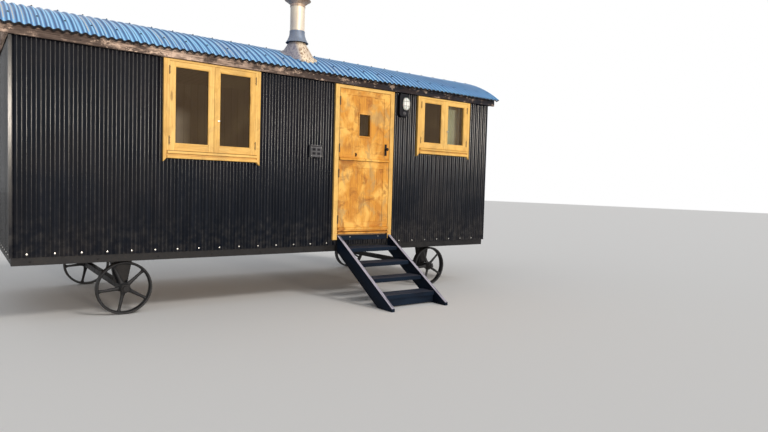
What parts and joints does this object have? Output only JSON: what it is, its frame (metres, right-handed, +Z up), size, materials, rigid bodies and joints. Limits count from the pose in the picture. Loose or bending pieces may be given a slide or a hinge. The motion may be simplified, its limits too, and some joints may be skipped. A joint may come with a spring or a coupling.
{
  "type": "shepherds hut",
  "caption": "Barrel-roofed shepherds hut on cast wheels, clad in black corrugated sheet, with a timber stable door, casement windows, steps and a stove flue.",
  "frame": {"origin": "on the ground, under the middle of the whole outline, steps and eaves included", "axes": "+X along the hut to the right as seen from the steps, -Y out of the door, +Z up"},
  "size_m": [6.41, 3.576, 3.7272],
  "materials": {
    "chassis_black": "semi-gloss black",
    "cast_wheel": "black paint over cast iron",
    "floor_boards": "oiled boards",
    "wall_lining": "painted boards",
    "black_sheet": "satin black corrugated steel",
    "roof_blue": "semi-gloss blue-grey corrugated steel",
    "fascia_timber": "weathered rough-sawn board",
    "stained_timber": "honey-stained softwood",
    "window_glass": "clear",
    "hinge_metal": "dull",
    "black_iron": "satin black",
    "stair_paint": "worn blue-black paint",
    "flue_steel": "weathered stainless",
    "lamp_glass": "ribbed white",
    "grey_plastic": "matt grey",
    "curtain_cloth": "pale linen"
  },
  "bodies": {
    "hut": {"chassis_frame": "chassis_black", "floor": "floor_boards", "axles": "chassis_black", "axle_hangers": "chassis_black", "front_wall_left": "wall_lining", "front_wall_right": "wall_lining", "front_wall_header": "wall_lining", "back_wall": "wall_lining", "left_end_wall": "wall_lining", "right_end_wall": "wall_lining", "front_cladding": "black_sheet", "back_cladding": "black_sheet", "end_cladding": "black_sheet", "corner_trims": "black_sheet", "roof_deck": "wall_lining", "roof_sheets": "roof_blue", "fascias": "fascia_timber", "gable_boards": "fascia_timber", "large_window_frame": "stained_timber", "large_window_sashes": "stained_timber", "large_window_panes": "window_glass", "small_window_frame": "stained_timber", "small_window_sashes": "stained_timber", "small_window_panes": "window_glass", "door_frame": "stained_timber", "door_threshold": "stained_timber", "frame_hinges": "hinge_metal", "stair_stringers": "stair_paint", "stair_treads": "stair_paint", "stair_boards": "stair_paint", "flue_pipe": "flue_steel", "flue_boot": "flue_steel", "storm_collar": "flue_steel", "flue_cowl": "flue_steel", "lamp_body": "black_iron", "lamp_lens": "lamp_glass", "socket_box": "grey_plastic", "curtain": "curtain_cloth", "curtain_rod": "black_iron"},
    "upper_leaf": {"upper_leaf": "stained_timber", "upper_leaf_pane": "window_glass", "upper_leaf_hinges": "hinge_metal", "door_handle": "black_iron"},
    "lower_leaf": {"lower_leaf": "stained_timber", "lower_leaf_hinges": "hinge_metal"},
    "wheel_left_front": {"wheel_left_front": "cast_wheel"},
    "wheel_left_back": {"wheel_left_back": "cast_wheel"},
    "wheel_right_front": {"wheel_right_front": "cast_wheel"},
    "wheel_right_back": {"wheel_right_back": "cast_wheel"}
  },
  "joints": [
    {"name": "upper_leaf_hinge", "type": "hinge", "parent": "hut", "child": "upper_leaf", "pos_m": [0.4205, -0.6253, 2.1], "axis": [0, 0, -1], "range_deg": [0, 100]},
    {"name": "lower_leaf_hinge", "type": "hinge", "parent": "hut", "child": "lower_leaf", "pos_m": [0.4205, -0.6253, 1.25], "axis": [0, 0, -1], "range_deg": [0, 100]},
    {"name": "wheel_left_front_turn", "type": "hinge", "parent": "hut", "child": "wheel_left_front", "pos_m": [-2.05, -0.488, 0.27], "axis": [0, 1, 0], "continuous": true},
    {"name": "wheel_left_back_turn", "type": "hinge", "parent": "hut", "child": "wheel_left_back", "pos_m": [-2.05, 1.598, 0.27], "axis": [0, 1, 0], "continuous": true},
    {"name": "wheel_right_front_turn", "type": "hinge", "parent": "hut", "child": "wheel_right_front", "pos_m": [2.05, -0.488, 0.27], "axis": [0, 1, 0], "continuous": true},
    {"name": "wheel_right_back_turn", "type": "hinge", "parent": "hut", "child": "wheel_right_back", "pos_m": [2.05, 1.598, 0.27], "axis": [0, 1, 0], "continuous": true}
  ]
}
